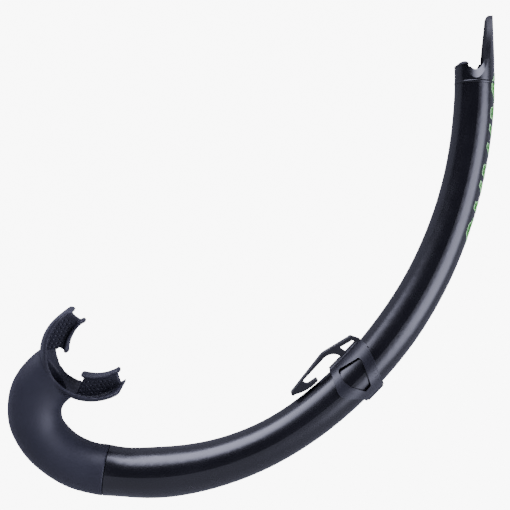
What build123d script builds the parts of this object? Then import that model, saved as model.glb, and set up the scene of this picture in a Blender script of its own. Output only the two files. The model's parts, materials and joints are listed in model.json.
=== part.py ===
from build123d import *
from math import cos, sin, tan, radians, degrees
import os

# Snorkel tube lying on its side.  The barrel curves in one level plane; +X runs along the
# barrel where the strap keeper rests, +Y points to the inside of the curve (the head side).

# ---------------- driving dimensions: millimetres and degrees ----------------
# barrel axis, three arcs that meet smoothly; headings are measured from +X
SEAM_HEADING = -53.9
LOWER_HEADING = -10.5
UPPER_HEADING = 26.25
SHOULDER_HEADING = 46.0  # straight from here to the tip
LOWER_RADIUS = 168.0
MIDDLE_RADIUS = 248.0
UPPER_RADIUS = 278.0

# barrel section
SEAM_OD = 31.0
KEEPER_OD = 27.0
TIP_OD = 24.4
SEAM_BORE = 23.0
KEEPER_BORE = 20.4
TIP_BORE = 18.0

# cut tip: a tall tab on the outside of the curve, a short banded tab on the inside,
# and a bevelled notch between them on each side
TAB_LENGTH = 27.9
TAB_HALF_ANGLES = [(-1.0, 54.0), (6.0, 49.0), (18.0, 36.0), (32.0, 20.0)]  # height above shoulder, angle
TAB_TOP_FLAT = 2.2
# the notch is an oval on each side, wider at the outside of the wall: (z, across, up, half-width, reach)
NOTCH_AT_BORE = (8.0, -2.0, 3.0, 7.4, 7.2)
NOTCH_AT_SKIN = (12.6, -3.0, 1.5, 9.4, 14.4)
BAND_END = -5.8
BAND_HEIGHT = 3.8
BAND_GROOVE = 0.4
BAND_CORNER = 2.0
BAND_SLOPE = 0.7

# rigid coupling sleeve
SLEEVE_OD = 24.0
SLEEVE_BORE = 20.4
SLEEVE_IN_BARREL = 14.0
SLEEVE_IN_ELBOW = 12.0
SLEEVE_FIT = 0.02
SWIVEL_GAP = 0.3
BEAD_HEIGHT = 0.7
BEAD_AT = 7.0

# silicone elbow
SEAM_GAP = 0.4
ELBOW_STRAIGHT = 5.3
ELBOW_RADIUS_1 = 49.0
ELBOW_BEND_1 = 47.0
ELBOW_RADIUS_2 = 27.6
ELBOW_BEND_2 = 85.6
NECK_WIDTH = 34.8
NECK_HEIGHT = 24.6
NECK_LENGTH = 13.0
MOUTH_BORE_WIDTH = 23.0
MOUTH_BORE_HEIGHT = 16.0

# bite flange, a wall wrapped round the dental arch
MOUTH_HEADING = -12.5
FLANGE_CENTRE = (-97.5, 127.1)
FLANGE_RADIUS = 27.0
FLANGE_WALL = 2.2
FLANGE_HEIGHT = 27.5
FLANGE_WAIST = 24.0
FLANGE_REACH = 1.6
FLANGE_BOW = 6.4
FLANGE_CORNER = 9.0
FLANGE_SPAN = 59.0
FLANGE_CURL = 7.0

# bite tabs
TAB_THICKNESS = 4.0
BITE_START = 38.0
BITE_END = 101.0
LIP_WALL = 1.8
LIP_HEIGHT = 10.0
LIP_BACK = (-15.8, 9.7)
LIP_MIDDLE = (-7.9, 15.6)
LIP_FRONT = (1.7, 18.2)

# the mouthpiece is turned a little round the seam, as it is worn
MOUTH_TURN = 9.0

# keeper collar
COLLAR_GAP = 0.35
COLLAR_WALL = 1.2
PAD_WALL = 1.6
PAD_HALF_WIDTH = 5.6
BUTTON_WALL = 1.35

# strap hook
HOOK_WIDTH = 10.6
FOOT_DEPTH = 0.9
FOOT_FIT = 0.05


# ---------------- barrel axis ----------------
def on_arc(centre, radius, heading):
    a = radians(heading)
    return (centre[0] + radius * sin(a), centre[1] - radius * cos(a))


def next_centre(point, radius, heading):
    a = radians(heading)
    return (point[0] - radius * sin(a), point[1] + radius * cos(a))


MIDDLE_CENTRE = (0.0, MIDDLE_RADIUS)
lower_joint = on_arc(MIDDLE_CENTRE, MIDDLE_RADIUS, LOWER_HEADING)
upper_joint = on_arc(MIDDLE_CENTRE, MIDDLE_RADIUS, UPPER_HEADING)
LOWER_CENTRE = next_centre(lower_joint, LOWER_RADIUS, LOWER_HEADING)
UPPER_CENTRE = next_centre(upper_joint, UPPER_RADIUS, UPPER_HEADING)


def axis_point(heading):
    if heading < LOWER_HEADING:
        return on_arc(LOWER_CENTRE, LOWER_RADIUS, heading)
    if heading <= UPPER_HEADING:
        return on_arc(MIDDLE_CENTRE, MIDDLE_RADIUS, heading)
    return on_arc(UPPER_CENTRE, UPPER_RADIUS, heading)


def across(point, heading):
    """Plane across a tube; its X is up (+Z) and its Y points to the outside of the curve."""
    a = radians(heading)
    return Plane(origin=(point[0], point[1], 0), x_dir=(0, 0, 1), z_dir=(cos(a), sin(a), 0))


def barrel_loft(profile):
    return loft([across(axis_point(h), h) * Circle(d / 2) for h, d in profile])


# ---------------- barrel ----------------
skin = [(SEAM_HEADING, SEAM_OD), (-45.0, 30.8), (-37.0, 30.1), (-30.0, 28.7), (-22.0, 27.6)]
skin += [(-15.0, KEEPER_OD), (LOWER_HEADING, KEEPER_OD), (-4.0, KEEPER_OD), (3.0, KEEPER_OD)]
skin += [(9.0, KEEPER_OD), (14.5, 26.3), (20.0, 25.7), (UPPER_HEADING, 24.9)]
skin += [(34.0, TIP_OD), (40.0, TIP_OD), (SHOULDER_HEADING, TIP_OD)]
bore = [(SEAM_HEADING - 1.0, SEAM_BORE), (-45.0, 22.6), (-33.0, 21.6), (-22.0, KEEPER_BORE)]
bore += [(LOWER_HEADING, KEEPER_BORE), (0.0, KEEPER_BORE), (10.0, KEEPER_BORE), (20.0, 19.4)]
bore += [(30.0, 18.4), (38.0, TIP_BORE), (SHOULDER_HEADING, TIP_BORE)]
shoulder = across(axis_point(SHOULDER_HEADING), SHOULDER_HEADING)
barrel = barrel_loft(skin) + shoulder * extrude(Circle(TIP_OD / 2), amount=TAB_LENGTH + 3)
barrel -= barrel_loft(bore)
barrel -= shoulder * extrude(Circle(TIP_BORE / 2), amount=TAB_LENGTH + 6)

# seat for the coupling sleeve
seam = across(axis_point(SEAM_HEADING), SEAM_HEADING)
barrel -= seam * extrude(Circle(SLEEVE_OD / 2 + SLEEVE_FIT), amount=SLEEVE_IN_BARREL + 0.2)

# tip, worked in the side view: U across the tube (outside of the curve positive), V up the tube
h = radians(SHOULDER_HEADING)
tip = Plane(origin=(*axis_point(SHOULDER_HEADING), 0), x_dir=(sin(h), -cos(h), 0), z_dir=(0, 0, 1))
above = Pos(0, 30) * Rectangle(60, 60)
wedge_faces = []
for lift, half_angle in TAB_HALF_ANGLES:
    spread = 24 * tan(radians(half_angle))
    sector = Polygon((0, 0), (24, -spread), (24, spread), align=None)
    wedge_faces.append(Plane(origin=(0, lift, 0), x_dir=(1, 0, 0), z_dir=(0, -1, 0)) * sector)
wedge = loft(wedge_faces)

end_view = Plane(origin=(0, 0, 0), x_dir=(0, 0, 1), z_dir=(-1, 0, 0))
fall = 20 - TAB_TOP_FLAT
roof = [(-20, TAB_LENGTH - fall), (-TAB_TOP_FLAT, TAB_LENGTH), (TAB_TOP_FLAT, TAB_LENGTH)]
roof += [(20, TAB_LENGTH - fall), (20, 60), (-20, 60)]
barrel -= tip * (end_view * extrude(Polygon(*roof, align=None), amount=30, both=True))

notch_faces = []
for side, oval in ((-1, NOTCH_AT_SKIN), (-1, NOTCH_AT_BORE), (1, NOTCH_AT_BORE), (1, NOTCH_AT_SKIN)):
    z, across_tube, up_tube, half_width, depth = oval
    notch_faces.append(Pos(across_tube, up_tube, side * z) * Ellipse(half_width, depth))
notch = loft(notch_faces, ruled=True)
band_block = Pos(BAND_END - 20, 20 - BAND_HEIGHT, 0) * Box(40, 40, 60)
barrel -= tip * (extrude(above, amount=30, both=True) + (notch - band_block) - wedge)
corner = Pos(BAND_END - BAND_CORNER / 2, -BAND_CORNER / 2) * Rectangle(BAND_CORNER, BAND_CORNER)
corner -= Pos(BAND_END - BAND_CORNER, -BAND_CORNER) * Circle(BAND_CORNER)
barrel -= tip * extrude(corner, amount=30, both=True)
band_side = Pos(0, BAND_END - 20, 0) * Box(60, 40, 60)
drop = (TIP_OD - TIP_BORE) / 2 * BAND_SLOPE
chamfer = Cylinder(TIP_OD / 2 + 2, drop) - Cone(TIP_OD / 2, TIP_BORE / 2, drop)
barrel -= shoulder * (Pos(0, 0, -drop / 2) * chamfer & band_side)
band_ring = Circle(TIP_OD / 2 + 2) - Circle(TIP_OD / 2 - BAND_GROOVE)
band_cut = Pos(0, 0, -BAND_HEIGHT) * extrude(band_ring, amount=0.7)
barrel -= shoulder * (band_cut & band_side)

# ---------------- coupling sleeve ----------------
sleeve = extrude(Circle(SLEEVE_OD / 2), amount=SLEEVE_IN_BARREL)
sleeve += extrude(Circle(SLEEVE_OD / 2), amount=-SLEEVE_IN_ELBOW)
bead_path = Pos(0, 0, -BEAD_AT) * Torus(SLEEVE_OD / 2 - 0.5, BEAD_HEIGHT + 0.5)
sleeve += bead_path
sleeve -= extrude(Circle(SLEEVE_BORE / 2), amount=60, both=True)
coupling_sleeve = seam * sleeve


# ---------------- mouthpiece ----------------
def walk(point, heading, radius, bend, steps):
    """Stations along a clockwise arc, as (point, heading)."""
    a = radians(heading)
    centre = (point[0] + radius * sin(a), point[1] - radius * cos(a))
    stations = []
    for i in range(1, steps + 1):
        b = radians(heading - bend * i / steps)
        stations.append(((centre[0] - radius * sin(b), centre[1] + radius * cos(b)), degrees(b)))
    return stations


def ahead(point, heading, distance):
    a = radians(heading)
    return (point[0] + distance * cos(a), point[1] + distance * sin(a))


start_heading = SEAM_HEADING + 180
seam_point = axis_point(SEAM_HEADING)
route = [(ahead(seam_point, start_heading, SEAM_GAP), start_heading)]
route.append((ahead(seam_point, start_heading, ELBOW_STRAIGHT), start_heading))
route += walk(*route[-1], ELBOW_RADIUS_1, ELBOW_BEND_1, 4)
route += walk(*route[-1], ELBOW_RADIUS_2, ELBOW_BEND_2, 5)
neck_end = route[-1]
for distance in (NECK_LENGTH / 2, NECK_LENGTH):
    route.append((ahead(*neck_end, distance), neck_end[1]))


def elbow_loft(widths, heights, stations):
    faces = []
    for (point, heading), wide, high in zip(stations, widths, heights):
        faces.append(across(point, heading) * Ellipse(high / 2, wide / 2))
    return loft(faces)


widths = [SEAM_OD, 30.9, 30.7, 30.6, 30.7, 31.1, 31.8, 32.6, 33.5, 34.3]
widths += [NECK_WIDTH, NECK_WIDTH, NECK_WIDTH]
heights = [SEAM_OD, 30.9, 30.8, 30.6, 30.3, 29.8, 28.9, 27.9, 26.8, 25.6]
heights += [NECK_HEIGHT, NECK_HEIGHT, NECK_HEIGHT]
elbow = elbow_loft(widths, heights, route)

mouth = Plane(
    origin=(*FLANGE_CENTRE, 0),
    x_dir=(cos(radians(MOUTH_HEADING)), sin(radians(MOUTH_HEADING)), 0),
    z_dir=(0, 0, 1),
)


def dished(radius):
    """Stacked circles, the middle ones set back towards the neck."""
    faces = []
    for step in range(-2, 3):
        back = FLANGE_BOW * (1 - (step / 2) ** 2)
        faces.append(Pos(-back, 0, step * FLANGE_HEIGHT / 4) * Circle(radius))
    return loft(faces)


flange = dished(FLANGE_RADIUS + FLANGE_WALL) - dished(FLANGE_RADIUS)
side_view = RectangleRounded(FLANGE_REACH + 60, FLANGE_HEIGHT, FLANGE_CORNER)
side_view = Pos((FLANGE_REACH - 60) / 2, 0) * side_view
flange &= Plane.XZ * extrude(side_view, amount=60, both=True)
front_view = Rectangle(90, FLANGE_HEIGHT)
for side in (1, -1):
    dip = FLANGE_HEIGHT / 2 - FLANGE_WAIST / 2
    dip_radius = (15.0 ** 2 + dip ** 2) / (2 * dip)
    front_view -= Pos(0, side * (FLANGE_WAIST / 2 + dip_radius)) * Circle(dip_radius)
flange &= Plane.YZ * extrude(front_view, amount=60, both=True)
plan_view = RectangleRounded(FLANGE_REACH + 82, FLANGE_SPAN, FLANGE_CURL)
flange &= Pos((FLANGE_REACH - 80) / 2, 0) * extrude(plan_view, amount=30, both=True)

tabs = None
for side in (1, -1):
    back = (LIP_BACK[0], side * LIP_BACK[1])
    middle = (LIP_MIDDLE[0], side * LIP_MIDDLE[1])
    front = (LIP_FRONT[0], side * LIP_FRONT[1])
    grip = FLANGE_RADIUS + FLANGE_WALL / 2
    start = 180 - side * BITE_START
    finish = 180 - side * BITE_END
    rim = []
    for turn in (start, (start + finish) / 2, finish):
        a = radians(turn)
        rim.append((grip * cos(a) - FLANGE_BOW, grip * sin(a)))
    lip_line = ThreePointArc(back, middle, front)
    outline = lip_line + Line(front, rim[2]) + ThreePointArc(rim[2], rim[1], rim[0]) + Line(rim[0], back)
    piece = extrude(make_face(outline), amount=TAB_THICKNESS / 2, both=True)
    piece += extrude(trace(lip_line, LIP_WALL), amount=LIP_HEIGHT / 2, both=True)
    tabs = piece if tabs is None else tabs + piece

mouthpiece = elbow - mouth * dished(FLANGE_RADIUS + FLANGE_WALL / 2)
mouthpiece += mouth * flange
mouthpiece += mouth * tabs

bore_route = [(ahead(seam_point, start_heading, SLEEVE_IN_ELBOW - 1), start_heading)]
bore_route += [route[3], route[5], route[7], route[9], neck_end]
bore_route.append((ahead(*neck_end, 18.0), neck_end[1]))
bore_widths = [21.0, 21.1, 21.2, 21.9, 22.7, MOUTH_BORE_WIDTH, MOUTH_BORE_WIDTH]
bore_heights = [21.0, 20.8, 20.4, 18.7, 16.8, MOUTH_BORE_HEIGHT, MOUTH_BORE_HEIGHT]
mouthpiece -= elbow_loft(bore_widths, bore_heights, bore_route)
seat = extrude(Circle(SLEEVE_OD / 2 + SWIVEL_GAP), amount=-SLEEVE_IN_ELBOW - 0.6)
seat += extrude(Circle(SLEEVE_OD / 2 + SWIVEL_GAP), amount=5)
seat += Pos(0, 0, -BEAD_AT) * Torus(SLEEVE_OD / 2 - 0.5, BEAD_HEIGHT + 0.5 + SWIVEL_GAP)
mouthpiece -= seam * seat
seam_axis = Axis((*seam_point, 0), (cos(radians(SEAM_HEADING)), sin(radians(SEAM_HEADING)), 0))
mouthpiece = mouthpiece.rotate(seam_axis, MOUTH_TURN)

# ---------------- keeper collar ----------------
bore_radius = KEEPER_OD / 2 + COLLAR_GAP
collar_radius = bore_radius + COLLAR_WALL
barrel_centre_line = Axis((0, MIDDLE_RADIUS, 0), (0, 0, 1))
reach = 6.0


def follow(sketch):
    """Sweep a section round the barrel's own curve, over the length of the collar."""
    a = radians(-reach)
    start = Plane(origin=(*axis_point(-reach), 0), x_dir=(sin(a), -cos(a), 0), z_dir=(cos(a), sin(a), 0))
    return revolve(start * sketch, barrel_centre_line, 2 * reach)


pad_y = bore_radius + PAD_WALL
band = Circle(collar_radius)
pad = Pos(-pad_y / 2, 0) * RectangleRounded(pad_y, 2 * PAD_HALF_WIDTH, 0.8)
button_y = bore_radius + BUTTON_WALL
button = Pos(button_y / 2, 0) * RectangleRounded(button_y, 10.0, 0.8)
collar = follow(band)
pad_outline = [(-10.8, 10.0), (15.4, 10.0), (15.4, pad_y), (-10.8, pad_y)]
pad_area = extrude(Polygon(*pad_outline, align=None), amount=30, both=True)
pad_block = follow(band + pad) & pad_area
button_outline = [(-7.8, -10.0), (5.0, -10.0), (5.0, -20.0), (-7.8, -20.0)]
button_area = extrude(Polygon(*button_outline, align=None), amount=30, both=True)
button_block = follow(band + button) & button_area

with BuildSketch() as outline:
    with BuildLine():
        Polyline((15.4, pad_y), (15.4, 13.0), (14.6, 8.0), (11.4, 0.0), (7.4, -9.0))
        Polyline((7.4, -9.0), (6.2, -13.0), (6.2, -20.0))
        Polyline((6.2, -20.0), (-8.6, -20.0), (-9.2, -13.0))
        Spline((-9.2, -13.0), (-15.0, -4.5), (-17.8, 1.2), (-16.0, 6.2), (-12.6, 12.6))
        Polyline((-12.6, 12.6), (-10.8, 15.0), (-10.8, pad_y), (15.4, pad_y))
    make_face()
collar &= extrude(outline.sketch, amount=30, both=True)
collar += pad_block
collar += button_block
window_outline = [(-7.0, 12.2), (6.6, 9.0), (6.8, 6.6), (-0.4, -8.2)]
window_outline += [(-5.2, -8.6), (-9.6, 0.4), (-10.0, 5.6), (-8.4, 11.0)]
window = Polygon(*window_outline, align=None)
window = fillet(window.vertices(), 1.4)
collar -= extrude(window, amount=30, both=True)
collar -= follow(Circle(bore_radius))

# ---------------- strap hook ----------------
foot_line = pad_y
with BuildSketch() as hook_outline:
    with BuildLine():
        Line((15.2, foot_line), (13.4, 19.4))
        ThreePointArc((13.4, 19.4), (12.6, 20.2), (11.4, 20.4))
        Line((11.4, 20.4), (-5.0, 24.8))
        ThreePointArc((-5.0, 24.8), (-7.4, 25.2), (-9.8, 25.1))
        Line((-9.8, 25.1), (-36.8, 22.4))
        ThreePointArc((-36.8, 22.4), (-38.3, 21.1), (-36.6, 20.1))
        Spline((-36.6, 20.1), (-31.3, 17.4), (-24.8, 15.9), (-21.4, 15.8))
        ThreePointArc((-21.4, 15.8), (-20.4, 16.5), (-21.2, 17.3))
        Line((-21.2, 17.3), (-25.4, 18.2))
        ThreePointArc((-25.4, 18.2), (-27.2, 19.2), (-27.6, 21.0))
        ThreePointArc((-27.6, 21.0), (-27.2, 22.0), (-26.2, 22.4))
        Line((-26.2, 22.4), (-9.6, 22.7))
        Spline((-9.6, 22.7), (-4.4, 21.6), (-1.6, 19.0), (-0.6, foot_line))
        Line((-0.6, foot_line), (3.8, foot_line))
        Line((3.8, foot_line), (3.0, 20.4))
        Line((3.0, 20.4), (11.6, 17.85))
        Line((11.6, 17.85), (11.9, foot_line))
        Line((11.9, foot_line), (15.2, foot_line))
    make_face()
hook = extrude(hook_outline.sketch, amount=HOOK_WIDTH / 2, both=True)
for low, high in ((-0.4, 3.4), (11.8, 14.8)):
    length = high - low
    middle = (low + high) / 2
    foot = Box(length, FOOT_DEPTH + 0.4, HOOK_WIDTH - 4)
    hook += Pos(middle, foot_line - (FOOT_DEPTH - 0.4) / 2, 0) * foot
    pocket = Box(length + 2 * FOOT_FIT, FOOT_DEPTH + 1.0, HOOK_WIDTH - 4 + 2 * FOOT_FIT)
    collar -= Pos(middle, foot_line - FOOT_DEPTH - FOOT_FIT + (FOOT_DEPTH + 1.0) / 2, 0) * pocket

# ---------------- rest the snorkel on its lowest point, origin under the middle ----------------
nodes = {
    "barrel": barrel,
    "coupling_sleeve": coupling_sleeve,
    "mouthpiece": mouthpiece,
    "keeper_collar": collar,
    "strap_hook": hook,
}
boxes = [shape.bounding_box() for shape in nodes.values()]
low = [min(getattr(b.min, k) for b in boxes) for k in "XYZ"]
high = [max(getattr(b.max, k) for b in boxes) for k in "XYZ"]
shift = Pos(-(low[0] + high[0]) / 2, -(low[1] + high[1]) / 2, -low[2])
os.makedirs("parts", exist_ok=True)
for name, shape in nodes.items():
    placed = shift * shape.solids()[0]
    print(name, len(shape.solids()), round(placed.volume), placed.bounding_box())
    export_step(placed, f"parts/{name}.step")
print("shift", shift.position)
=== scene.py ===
import bpy
import bmesh
import json
import math
from mathutils import Matrix, Vector


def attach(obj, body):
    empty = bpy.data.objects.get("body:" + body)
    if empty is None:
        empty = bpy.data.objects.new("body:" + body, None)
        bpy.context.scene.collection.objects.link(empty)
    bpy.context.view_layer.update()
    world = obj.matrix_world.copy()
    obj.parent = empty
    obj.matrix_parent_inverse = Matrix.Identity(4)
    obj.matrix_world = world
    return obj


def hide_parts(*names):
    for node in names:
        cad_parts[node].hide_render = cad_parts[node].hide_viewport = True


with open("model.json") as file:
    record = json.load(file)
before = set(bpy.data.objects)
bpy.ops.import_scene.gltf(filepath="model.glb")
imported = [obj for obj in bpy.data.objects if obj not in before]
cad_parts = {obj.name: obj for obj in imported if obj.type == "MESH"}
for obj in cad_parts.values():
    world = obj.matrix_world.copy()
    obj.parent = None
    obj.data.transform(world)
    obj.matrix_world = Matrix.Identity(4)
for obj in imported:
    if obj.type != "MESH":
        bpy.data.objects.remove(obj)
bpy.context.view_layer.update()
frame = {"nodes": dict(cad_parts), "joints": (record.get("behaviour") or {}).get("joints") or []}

MM = 0.001
nodes = frame["nodes"]

# ---------------- barrel geometry, from its three arcs (millimetres and degrees) ----------------
SEAM_HEADING = -53.9
LOWER_HEADING = -10.5
UPPER_HEADING = 26.25
SHOULDER_HEADING = 46.0
LOWER_RADIUS = 168.0
MIDDLE_RADIUS = 248.0
UPPER_RADIUS = 278.0
TIP_RADIUS = 12.2
COLLAR_RADIUS = 15.05
joints = {joint["name"]: joint for joint in frame["joints"]}
CENTRE = Vector(joints["keeper_travel"]["pos_m"]) / MM
ORIGIN = CENTRE - Vector((0, MIDDLE_RADIUS, 0))


def arc_point(centre, radius, heading):
    a = math.radians(heading)
    return centre + Vector((radius * math.sin(a), -radius * math.cos(a), 0))


def arc_centre(point, radius, heading):
    return point - arc_point(Vector((0, 0, 0)), radius, heading)


lower_joint = arc_point(CENTRE, MIDDLE_RADIUS, LOWER_HEADING)
upper_joint = arc_point(CENTRE, MIDDLE_RADIUS, UPPER_HEADING)
LOWER_CENTRE = arc_centre(lower_joint, LOWER_RADIUS, LOWER_HEADING)
UPPER_CENTRE = arc_centre(upper_joint, UPPER_RADIUS, UPPER_HEADING)


def arc_of(heading):
    if heading < LOWER_HEADING:
        return LOWER_CENTRE, LOWER_RADIUS
    if heading <= UPPER_HEADING:
        return CENTRE, MIDDLE_RADIUS
    return UPPER_CENTRE, UPPER_RADIUS


def heading_back(start, distance):
    """Heading of the point that lies this far back along the barrel from a heading."""
    heading = start
    left = distance
    step = 0.5
    while left > 0:
        moved = min(step, left)
        heading -= math.degrees(moved / arc_of(heading)[1])
        left -= moved
    return heading


def on_tube(heading, turn, radius):
    """A point at this radius from the barrel's axis; turn 0 is the outside of the curve, 90 is up."""
    centre, arc_radius = arc_of(heading)
    a = math.radians(heading)
    t = math.radians(turn)
    out = Vector((math.sin(a), -math.cos(a), 0))
    spoke = out * math.cos(t) + Vector((0, 0, math.sin(t)))
    return arc_point(centre, arc_radius, heading) + spoke * radius


# ---------------- materials ----------------
class Mat:
    """A small builder for node materials."""

    def __init__(self, name):
        self.mat = bpy.data.materials.new(name)
        self.mat.use_nodes = True
        self.tree = self.mat.node_tree
        self.shader = self.tree.nodes["Principled BSDF"]
        self.coords = self.tree.nodes.new("ShaderNodeTexCoord").outputs["Object"]

    def node(self, kind, **settings):
        made = self.tree.nodes.new(kind)
        for key, value in settings.items():
            if key in made.inputs:
                made.inputs[key].default_value = value
            else:
                setattr(made, key, value)
        return made

    def link(self, a, b):
        self.tree.links.new(a, b)

    def noise(self, scale, detail=3.0, roughness=0.55):
        n = self.node("ShaderNodeTexNoise", Scale=scale, Detail=detail, Roughness=roughness)
        self.link(self.coords, n.inputs["Vector"])
        return n.outputs["Fac"]

    def ramp(self, source, stops):
        r = self.node("ShaderNodeValToRGB")
        ramp = r.color_ramp
        while len(ramp.elements) < len(stops):
            ramp.elements.new(0.5)
        for element, (place, value) in zip(ramp.elements, stops):
            element.position = place
            element.color = (*value, 1)
        self.link(source, r.inputs["Fac"])
        return r.outputs["Color"]

    def grey_range(self, source, low, high):
        m = self.node("ShaderNodeMapRange")
        m.inputs["From Min"].default_value = 0.3
        m.inputs["From Max"].default_value = 0.7
        m.inputs["To Min"].default_value = low
        m.inputs["To Max"].default_value = high
        self.link(source, m.inputs["Value"])
        return m.outputs["Result"]

    def bump(self, source, strength, distance):
        b = self.node("ShaderNodeBump")
        b.inputs["Strength"].default_value = strength
        b.inputs["Distance"].default_value = distance
        self.link(source, b.inputs["Height"])
        self.link(b.outputs["Normal"], self.shader.inputs["Normal"])


def plastic(name, dark, light, rough, specular, grain, grain_depth, mottle=25.0, sheen=0.0):
    """Moulded plastic or rubber: mottled colour, uneven gloss, fine grain."""
    m = Mat(name)
    m.link(m.ramp(m.noise(mottle), [(0.3, dark), (0.7, light)]), m.shader.inputs["Base Color"])
    gloss = m.grey_range(m.noise(mottle * 3.0, 5.0), rough - 0.02, rough + 0.03)
    m.link(gloss, m.shader.inputs["Roughness"])
    m.shader.inputs["Specular IOR Level"].default_value = specular
    if sheen:
        m.shader.inputs["Sheen Weight"].default_value = sheen
        m.shader.inputs["Sheen Roughness"].default_value = 0.4
        m.shader.inputs["Sheen Tint"].default_value = (0.75, 0.78, 1.0, 1.0)
    m.bump(m.noise(grain, 2.0, 0.5), 0.3, grain_depth)
    return m.mat


BARREL = plastic(
    "barrel_satin",
    dark=(0.0025, 0.0025, 0.0035),
    light=(0.0045, 0.0045, 0.006),
    rough=0.25,
    specular=0.5,
    grain=1100,
    grain_depth=0.000012,
)
SILICONE = plastic(
    "silicone_dark",
    dark=(0.010, 0.010, 0.015),
    light=(0.014, 0.014, 0.020),
    rough=0.52,
    specular=0.3,
    grain=1700,
    grain_depth=0.00004,
    mottle=40.0,
    sheen=0.03,
)
COLLAR = plastic(
    "collar_nylon",
    dark=(0.008, 0.008, 0.011),
    light=(0.014, 0.014, 0.018),
    rough=0.34,
    specular=0.5,
    grain=1400,
    grain_depth=0.00004,
)
HOOK = plastic(
    "hook_plastic",
    dark=(0.004, 0.004, 0.005),
    light=(0.007, 0.007, 0.009),
    rough=0.36,
    specular=0.45,
    grain=1300,
    grain_depth=0.00003,
)
SLEEVE = plastic(
    "sleeve_plastic",
    dark=(0.030, 0.030, 0.034),
    light=(0.045, 0.045, 0.05),
    rough=0.45,
    specular=0.45,
    grain=1000,
    grain_depth=0.00004,
)
INK = plastic(
    "green_ink",
    dark=(0.055, 0.300, 0.030),
    light=(0.090, 0.380, 0.055),
    rough=0.6,
    specular=0.15,
    grain=1500,
    grain_depth=0.00002,
    mottle=160.0,
)
PALE_INK = plastic(
    "pale_green_ink",
    dark=(0.300, 0.700, 0.240),
    light=(0.380, 0.780, 0.320),
    rough=0.6,
    specular=0.15,
    grain=1500,
    grain_depth=0.00002,
    mottle=160.0,
)
MARK = plastic(
    "moulded_mark",
    dark=(0.010, 0.010, 0.013),
    light=(0.018, 0.018, 0.022),
    rough=0.30,
    specular=0.6,
    grain=1500,
    grain_depth=0.00002,
    mottle=90.0,
)


def dress(obj, material):
    obj.data.materials.clear()
    obj.data.materials.append(material)


dress(nodes["barrel"], BARREL)
dress(nodes["coupling_sleeve"], SLEEVE)
dress(nodes["mouthpiece"], SILICONE)
dress(nodes["keeper_collar"], COLLAR)
dress(nodes["strap_hook"], HOOK)


# ---------------- moulded edges on the hook ----------------
def soften(node, width):
    """Small rounded edges, as moulded parts have."""
    weld = node.modifiers.new("weld", "WELD")
    weld.merge_threshold = 0.002 * MM
    bevel = node.modifiers.new("bevel", "BEVEL")
    bevel.width = width
    bevel.segments = 2
    bevel.limit_method = "ANGLE"
    bevel.angle_limit = math.radians(40)
    bevel.harden_normals = True


soften(nodes["strap_hook"], 0.35 * MM)


# ---------------- raised strokes that follow a surface ----------------
STROKE_STEP = 0.7


def densify(points, closed, step):
    path = list(points)
    if closed:
        path.append(points[0])
    fine = [path[0]]
    for a, b in zip(path, path[1:]):
        count = max(1, int(math.dist(a, b) / step))
        for i in range(1, count + 1):
            fine.append((a[0] + (b[0] - a[0]) * i / count, a[1] + (b[1] - a[1]) * i / count))
    return fine[:-1] if closed else fine


def stroke(bm, points, width, closed, place, foot, top):
    """A low ridge along flat points (along, across).

    place(along, across, height) puts them on the surface.
    """
    fine = densify(points, closed, STROKE_STEP)
    count = len(fine)
    rings = []
    for i, p in enumerate(fine):
        before = fine[(i - 1) % count] if closed or i else p
        after = fine[(i + 1) % count] if closed or i < count - 1 else p
        dx, dy = after[0] - before[0], after[1] - before[1]
        length = math.hypot(dx, dy) or 1.0
        nx, ny = -dy / length * width / 2, dx / length * width / 2
        section = [(1, foot), (0.8, top), (-0.8, top), (-1, foot)]
        rings.append([bm.verts.new(place(p[0] + nx * s, p[1] + ny * s, h) * MM) for s, h in section])
    pairs = list(zip(rings, rings[1:]))
    if closed:
        pairs.append((rings[-1], rings[0]))
    for a, b in pairs:
        for k in range(4):
            m = (k + 1) % 4
            bm.faces.new((a[k], a[m], b[m], b[k]))
    if not closed:
        bm.faces.new(rings[0][::-1])
        bm.faces.new(rings[-1])


def finish_piece(bm, name, material, body, smooth=False):
    bmesh.ops.recalc_face_normals(bm, faces=bm.faces)
    mesh = bpy.data.meshes.new(name)
    bm.to_mesh(mesh)
    bm.free()
    mesh.polygons.foreach_set("use_smooth", [smooth] * len(mesh.polygons))
    piece = bpy.data.objects.new(name, mesh)
    bpy.context.scene.collection.objects.link(piece)
    dress(piece, material)
    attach(piece, body)
    return piece


def slot_outline(length, width):
    """A long shape with chamfered ends."""
    a, b, c = length / 2, width / 2, width / 3
    lower_side = [(-a + c, -b), (a - c, -b), (a, -b + c), (a, b - c)]
    return lower_side + [(-x, -y) for x, y in lower_side]


def lozenge(length, width):
    a, b = length / 2, width / 2
    return [(-a, 0), (-a / 2, -b), (a / 2, -b), (a, 0), (a / 2, b), (-a / 2, b)]


def chevron(length, width):
    a, b, t = length / 2, width / 2, length / 3
    return [(-a, -b), (-a + t, -b), (a, 0), (-a + t, b), (-a, b), (a - t, 0)]


# green outline pattern on the outside of the curve, just under the tip
PRINT_START = 7.5
PRINT_WIDTH = 18.4
PATTERN = [(slot_outline, 17.0), (lozenge, 11.0), (chevron, 9.5), (chevron, 9.5), (lozenge, 10.5)]
PATTERN += [(chevron, 9.5), (lozenge, 8.0), (slot_outline, 17.5)]
PATTERN_GAP = 1.4


def place_print(along, across, height):
    heading = heading_back(SHOULDER_HEADING, PRINT_START + along)
    radius = TIP_RADIUS + print_swell(heading)
    return on_tube(heading, math.degrees(across / radius), radius + height)


def print_swell(heading):
    """The barrel is a little thicker below the tip."""
    stations = [(14.5, 0.95), (20.0, 0.65), (26.25, 0.25), (34.0, 0.0), (60.0, 0.0)]
    for (h0, r0), (h1, r1) in zip(stations, stations[1:]):
        if h0 <= heading <= h1:
            return r0 + (r1 - r0) * (heading - h0) / (h1 - h0)
    return 0.0


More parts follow.
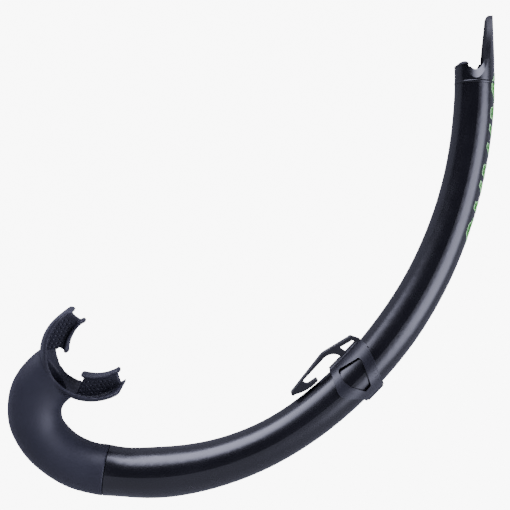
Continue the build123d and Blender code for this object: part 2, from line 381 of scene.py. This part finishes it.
PRINT_LAYERS = [("tip_print", PALE_INK, (0.0,), 0.62), ("tip_print_inner", INK, (2.0, 4.2), 0.8)]
for name, material, insets, line in PRINT_LAYERS:
    bm = bmesh.new()
    along = 0.0
    for shape, length in PATTERN:
        middle = along + length / 2
        for inset in insets:
            outline = shape(length - inset, PRINT_WIDTH - inset * 1.4)
            moved = [(middle + x, y) for x, y in outline]
            stroke(bm, moved, line, True, place_print, -0.25, 0.07)
        along += length + PATTERN_GAP
    finish_piece(bm, name, material, "barrel")

# low ring round the barrel, just below the cut tip
bm = bmesh.new()
RING_DROP = 13.4
ring_heading = heading_back(SHOULDER_HEADING, RING_DROP)
RING_SECTION = [(-0.9, -0.2), (-0.55, 0.1), (0.55, 0.1), (0.9, -0.2)]
rings = []
RING_STEPS = 96
for i in range(RING_STEPS):
    turn = 360 * i / RING_STEPS
    section = []
    for along_ring, height in RING_SECTION:
        heading = ring_heading + math.degrees(along_ring / UPPER_RADIUS)
        section.append(bm.verts.new(on_tube(heading, turn, TIP_RADIUS + height) * MM))
    rings.append(section)
for a, b in zip(rings, rings[1:] + rings[:1]):
    for k in range(4):
        m = (k + 1) % 4
        bm.faces.new((a[k], a[m], b[m], b[k]))
finish_piece(bm, "tip_ring", BARREL, "barrel", True)

# low moulded marks on the side of the lower barrel, a generic row of strokes
MARK_HEADINGS = (-42.0, -36.6, -31.5, -26.6, -21.8, -16.6)
MARK_TURN = 52.0
MARK_LINE = 0.4
MARK_REACH = 0.9
MARK_RISE = 9.0
MARK_FOOT = -0.2
MARK_TOP = 0.07
# the barrel's radius at some headings, thickest at the seam
SEAM_SWELL = [(-60.0, 15.5), (-53.9, 15.5), (-45.0, 15.4), (-37.0, 15.05)]
SEAM_SWELL += [(-30.0, 14.35), (-22.0, 13.8), (-15.0, 13.5), (60.0, 13.5)]


def lower_radius(heading):
    for (h0, r0), (h1, r1) in zip(SEAM_SWELL, SEAM_SWELL[1:]):
        if h0 <= heading <= h1:
            return r0 + (r1 - r0) * (heading - h0) / (h1 - h0)
    return SEAM_SWELL[-1][1]


def place_mark(heading, turn, height):
    return on_tube(heading, MARK_TURN + turn, lower_radius(heading) + height)


def divided(line):
    """The line's points with eight steps between each two."""
    fine = []
    for a, b in zip(line, line[1:]):
        for i in range(8):
            fine.append((a[0] + (b[0] - a[0]) * i / 8, a[1] + (b[1] - a[1]) * i / 8))
    fine.append(line[-1])
    return fine


def mark_stroke(bm, line):
    fine = divided(line)
    sides = []
    for i, p in enumerate(fine):
        q = fine[min(i + 1, len(fine) - 1)]
        o = fine[max(i - 1, 0)]
        along_dir = place_mark(*q, 0) - place_mark(*o, 0)
        up_dir = place_mark(*p, 1) - place_mark(*p, 0)
        side = along_dir.cross(up_dir).normalized() * MARK_LINE / 2
        base = place_mark(*p, MARK_FOOT)
        top = place_mark(*p, MARK_TOP)
        section = (base + side, top + side * 0.6, top - side * 0.6, base - side)
        sides.append([bm.verts.new(v * MM) for v in section])
    for a, b in zip(sides, sides[1:]):
        for k in range(4):
            m = (k + 1) % 4
            bm.faces.new((a[k], a[m], b[m], b[k]))
    bm.faces.new(sides[0][::-1])
    bm.faces.new(sides[-1])


bm = bmesh.new()
for n, heading in enumerate(MARK_HEADINGS):
    left = heading - MARK_REACH
    right = heading + MARK_REACH
    if n % 2:
        strokes = [[(left, -MARK_RISE), (heading, MARK_RISE), (right, -MARK_RISE)]]
    else:
        strokes = [[(left, -MARK_RISE), (right, MARK_RISE)], [(left, MARK_RISE), (right, -MARK_RISE)]]
    for line in strokes:
        mark_stroke(bm, line)
finish_piece(bm, "barrel_marks", MARK, "barrel")

# ---------------- keeper: ribs on the collar's slanted bar and a ridge along its edge ----------------
def place_collar(along, across, height):
    turn = math.degrees(math.acos(-across / COLLAR_RADIUS))
    return on_tube(math.degrees(along / MIDDLE_RADIUS), turn, COLLAR_RADIUS + height)


bm = bmesh.new()
BAR_TOP = (10.9, 4.6)
BAR_FOOT = (4.6, -8.6)
RIB_COUNT = 8
bar_length = math.dist(BAR_TOP, BAR_FOOT)
bar_x = (BAR_FOOT[0] - BAR_TOP[0]) / bar_length
bar_y = (BAR_FOOT[1] - BAR_TOP[1]) / bar_length
for i in range(RIB_COUNT):
    x = BAR_TOP[0] + bar_x * bar_length * i / (RIB_COUNT - 1)
    y = BAR_TOP[1] + bar_y * bar_length * i / (RIB_COUNT - 1)
    lean = 0.35 if i % 2 else -0.35
    ends = [(x + (-bar_y + lean * bar_x) * s, y + (bar_x + lean * bar_y) * s) for s in (-1.2, 1.2)]
    stroke(bm, ends, 0.42, False, place_collar, -0.3, 0.16)
stroke(bm, [(14.1, 7.8), (11.0, 0.4), (7.0, -8.6), (5.9, -12.6)], 0.5, False, place_collar, -0.3, 0.22)
finish_piece(bm, "collar_ribs", COLLAR, "keeper")


# ---------------- mouthpiece: the bite tabs carry staggered dimples on both faces ----------------
SEAM_POINT = arc_point(LOWER_CENTRE, LOWER_RADIUS, SEAM_HEADING)
SEAM_AXIS = Vector((math.cos(math.radians(SEAM_HEADING)), math.sin(math.radians(SEAM_HEADING)), 0))
MOUTH_TURN = Matrix.Rotation(math.radians(9.0), 3, SEAM_AXIS)
MOUTH_HEADING = math.radians(-12.5)
FLANGE_CENTRE = Vector((-97.5, 127.1, 0))
FLANGE_RADIUS = 27.0
FLANGE_BOW = 6.4
LIP_POINTS = [(-15.8, 9.7), (-12.4, 13.0), (-7.9, 15.6), (-3.3, 17.3), (1.7, 18.2)]
LIP_ENDS = [(-16.4, 9.0), (2.6, 18.3)]
BULB_RADIUS = 1.6
BULB_HALF = 5.2
VOXEL = 0.55
TAB_FACE = 2.0
DIMPLE_PITCH = 2.6
DIMPLE_RADIUS = 0.9
DIMPLE_LIFT = 0.5


def mouth_point(x, y, z):
    ahead = Vector((math.cos(MOUTH_HEADING), math.sin(MOUTH_HEADING), 0))
    aside = Vector((-math.sin(MOUTH_HEADING), math.cos(MOUTH_HEADING), 0))
    p = ORIGIN + FLANGE_CENTRE + ahead * x + aside * y + Vector((0, 0, z))
    return SEAM_POINT + MOUTH_TURN @ (p - SEAM_POINT)


def gap_to_lip(x, y):
    best = 99.0
    for (x0, y0), (x1, y1) in zip(LIP_POINTS, LIP_POINTS[1:]):
        share = ((x - x0) * (x1 - x0) + (y - y0) * (y1 - y0)) / ((x1 - x0) ** 2 + (y1 - y0) ** 2)
        share = min(1.0, max(0.0, share))
        best = min(best, math.dist((x, y), (x0 + (x1 - x0) * share, y0 + (y1 - y0) * share)))
    return best


def on_tab(x, y):
    """True where a dimple fits on the tab between its lip and the flange."""
    if math.hypot(x + FLANGE_BOW, y) > FLANGE_RADIUS - 1.3:
        return False
    turn = math.degrees(math.atan2(y, -(x + FLANGE_BOW)))
    return gap_to_lip(x, y) > 1.8 and 41 < turn < 97 and math.hypot(x, y) > 17.0


cutter = bmesh.new()
for row in range(-14, 4):
    for column in range(0, 13):
        x = row * DIMPLE_PITCH * 0.866
        y = 8.0 + (column + (row % 2) / 2) * DIMPLE_PITCH
        if not on_tab(x, y):
            continue
        for side in (1, -1):
            for face in (1, -1):
                ball = bmesh.ops.create_icosphere(cutter, subdivisions=2, radius=DIMPLE_RADIUS * MM)
                centre = mouth_point(x, side * y, face * (TAB_FACE + DIMPLE_LIFT)) * MM
                bmesh.ops.translate(cutter, verts=ball["verts"], vec=centre)
cutter_mesh = bpy.data.meshes.new("dimple_cutter")
cutter.to_mesh(cutter_mesh)
cutter.free()
cutter = bpy.data.objects.new("dimple_cutter", cutter_mesh)
bpy.context.scene.collection.objects.link(cutter)


def dimpled(node):
    """A copy of the mouthpiece with bulbs on its lips, rounded edges, and dimples in its tabs."""
    mesh = bpy.data.meshes.new("mouthpiece_soft")
    bm = bmesh.new()
    bm.from_mesh(node.data)
    bmesh.ops.transform(bm, matrix=node.matrix_world, verts=bm.verts)
    bmesh.ops.remove_doubles(bm, verts=bm.verts, dist=0.003 * MM)
    bmesh.ops.recalc_face_normals(bm, faces=bm.faces)
    for x, y in LIP_ENDS:
        for side in (1, -1):
            bulb = bmesh.ops.create_icosphere(bm, subdivisions=3, radius=1.0)["verts"]
            for v in bulb:
                bulb_x = x + v.co.x * BULB_RADIUS
                bulb_y = side * y + v.co.y * BULB_RADIUS
                v.co = mouth_point(bulb_x, bulb_y, v.co.z * BULB_HALF) * MM
    bm.to_mesh(mesh)
    bm.free()
    piece = bpy.data.objects.new("mouthpiece_soft", mesh)
    bpy.context.scene.collection.objects.link(piece)
    skin = piece.modifiers.new("skin", "REMESH")
    skin.mode = "VOXEL"
    skin.voxel_size = VOXEL * MM
    round_off = piece.modifiers.new("round_off", "SMOOTH")
    round_off.factor = 0.5
    round_off.iterations = 8
    cut = piece.modifiers.new("dimples", "BOOLEAN")
    cut.operation = "DIFFERENCE"
    cut.solver = "EXACT"
    cut.object = cutter
    evaluated = piece.evaluated_get(bpy.context.evaluated_depsgraph_get())
    result = bpy.data.meshes.new_from_object(evaluated)
    piece.modifiers.clear()
    piece.data = result
    result.name = "mouthpiece_soft_mesh"
    for polygon in result.polygons:
        polygon.use_smooth = True
    result.set_sharp_from_angle(angle=math.radians(50))
    return piece


mouth = dimpled(nodes["mouthpiece"])
bpy.data.objects.remove(cutter)
bpy.data.meshes.remove(cutter_mesh)
dress(mouth, SILICONE)
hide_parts("mouthpiece")
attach(mouth, "mouthpiece")

# ---------------- studio ----------------
LENS_CENTRE = (ORIGIN + Vector((7.82, 96.71, 0))) * MM
LENS_CENTRE.z = 0
UP = Vector((0.7206, 0.6934, 0))
RIGHT = Vector((0.6934, -0.7206, 0))
PLANE_HEIGHT = ORIGIN.z * MM
EYE_HEIGHT = 600 * MM
FIELD = 313.65 * MM


def grid_sheet(name, centre, size, cuts):
    mesh = bpy.data.meshes.new(name)
    bm = bmesh.new()
    bmesh.ops.create_grid(bm, x_segments=cuts, y_segments=cuts, size=size / 2)
    bm.to_mesh(mesh)
    bm.free()
    sheet = bpy.data.objects.new(name, mesh)
    sheet.location = centre
    bpy.context.scene.collection.objects.link(sheet)
    return sheet


def floor_paper():
    """White paper for the camera; to every other ray it is grey, so it throws little light on the object."""
    m = Mat("floor_paper")
    grey = m.ramp(m.noise(3.0), [(0.3, (0.34, 0.34, 0.35)), (0.7, (0.38, 0.38, 0.39))])
    m.link(grey, m.shader.inputs["Base Color"])
    m.shader.inputs["Roughness"].default_value = 0.9
    m.shader.inputs["Specular IOR Level"].default_value = 0.1
    table = m.node("ShaderNodeEmission", Strength=9.0)
    white = m.ramp(m.noise(2.0), [(0.3, (0.97, 0.97, 0.97)), (0.7, (1.0, 1.0, 1.0))])
    m.link(white, table.inputs["Color"])
    mix = m.node("ShaderNodeMixShader")
    path = m.node("ShaderNodeLightPath")
    m.link(path.outputs["Is Camera Ray"], mix.inputs["Fac"])
    m.link(m.shader.outputs["BSDF"], mix.inputs[1])
    m.link(table.outputs["Emission"], mix.inputs[2])
    m.link(mix.outputs["Shader"], m.tree.nodes["Material Output"].inputs["Surface"])
    return m.mat


floor = grid_sheet("floor", (LENS_CENTRE.x, LENS_CENTRE.y, -0.0004), 6.0, 8)
dress(floor, floor_paper())

camera = bpy.data.objects.new("camera", bpy.data.cameras.new("camera"))
bpy.context.scene.collection.objects.link(camera)
camera.data.sensor_width = 36
camera.data.lens = 18 * EYE_HEIGHT / (FIELD / 2)
eye = Matrix.Translation(LENS_CENTRE + Vector((0, 0, PLANE_HEIGHT + EYE_HEIGHT)))
facing = Matrix(
    (
        (RIGHT.x, UP.x, 0, 0),
        (RIGHT.y, UP.y, 0, 0),
        (0, 0, 1, 0),
        (0, 0, 0, 1),
    )
)
camera.matrix_world = eye @ facing
camera.data.clip_start = 0.01
camera.data.clip_end = 50
bpy.context.scene.camera = camera


# the room: dim overhead, one big soft light low beyond the top of the view, one high to the right,
# and a pale wall on the near side
def direction(azimuth, polar):
    """A direction azimuth degrees round from RIGHT towards UP, polar degrees from overhead."""
    a, p = math.radians(azimuth), math.radians(polar)
    return (RIGHT * math.cos(a) + UP * math.sin(a)) * math.sin(p) + Vector((0, 0, math.cos(p)))


world = bpy.data.worlds.new("studio")
bpy.context.scene.world = world
world.use_nodes = True
tree = world.node_tree
sky = tree.nodes["Background"]
looking = tree.nodes.new("ShaderNodeTexCoord").outputs["Generated"]


def glow(towards, outer, inner, strength):
    """Brightness that rises smoothly from the outer angle to the inner angle around a direction."""
    dot = tree.nodes.new("ShaderNodeVectorMath")
    dot.operation = "DOT_PRODUCT"
    dot.inputs[1].default_value = towards
    tree.links.new(looking, dot.inputs[0])
    ramp = tree.nodes.new("ShaderNodeMapRange")
    ramp.interpolation_type = "SMOOTHSTEP"
    ramp.inputs["From Min"].default_value = math.cos(math.radians(outer))
    ramp.inputs["From Max"].default_value = math.cos(math.radians(inner))
    ramp.inputs["To Min"].default_value = 0.0
    ramp.inputs["To Max"].default_value = strength
    tree.links.new(dot.outputs["Value"], ramp.inputs["Value"])
    return ramp.outputs["Result"]


def add(a, b):
    total = tree.nodes.new("ShaderNodeMath")
    total.operation = "ADD"
    tree.links.new(a, total.inputs[0])
    if isinstance(b, float):
        total.inputs[1].default_value = b
    else:
        tree.links.new(b, total.inputs[1])
    return total.outputs[0]


light = add(glow(direction(-90, 90), 88, 70, 0.9), 0.06)
light = add(light, glow(direction(108, 82), 42, 16, 14.0))
light = add(light, glow(direction(-12, 53), 34, 14, 9.0))
sky.inputs["Color"].default_value = (0.76, 0.77, 1.0, 1)
tree.links.new(light, sky.inputs["Strength"])
